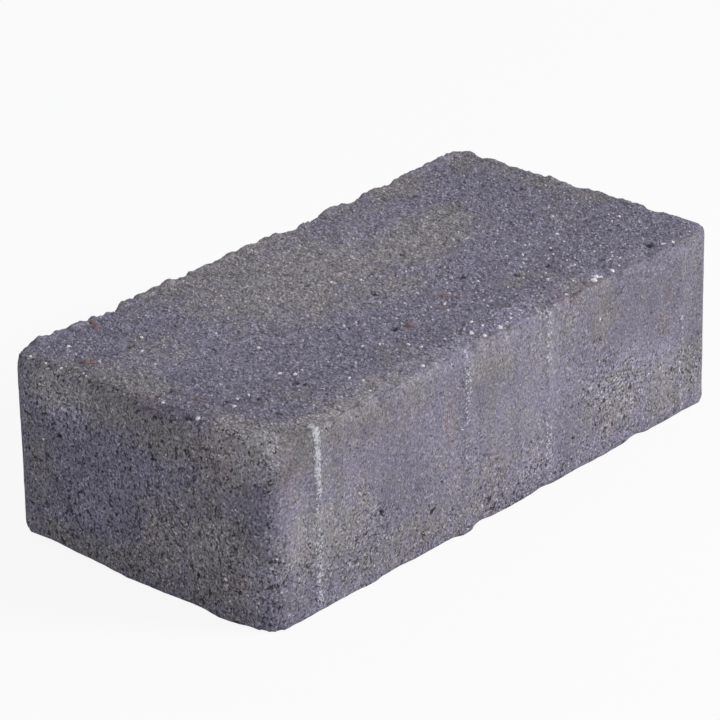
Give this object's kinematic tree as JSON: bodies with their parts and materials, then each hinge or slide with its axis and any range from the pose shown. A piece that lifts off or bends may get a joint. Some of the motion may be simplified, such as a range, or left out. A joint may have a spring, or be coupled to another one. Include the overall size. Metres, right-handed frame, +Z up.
{
  "type": "concrete paving stone",
  "caption": "Rectangular pressed concrete paving stone with rounded upright corners and low vertical spacer ribs on its sides, laid flat on a bed as paving.",
  "frame": {"origin": "middle of the bed face, on the surface that the stone lies on", "axes": "+X along the stone, +Y across it, +Z up out of the wear face"},
  "size_m": [0.2, 0.1, 0.057],
  "materials": {
    "concrete": "matt, granular, violet grey blended with warm grey"
  },
  "bodies": {
    "root": {"paving_stone": "concrete"}
  },
  "joints": []
}
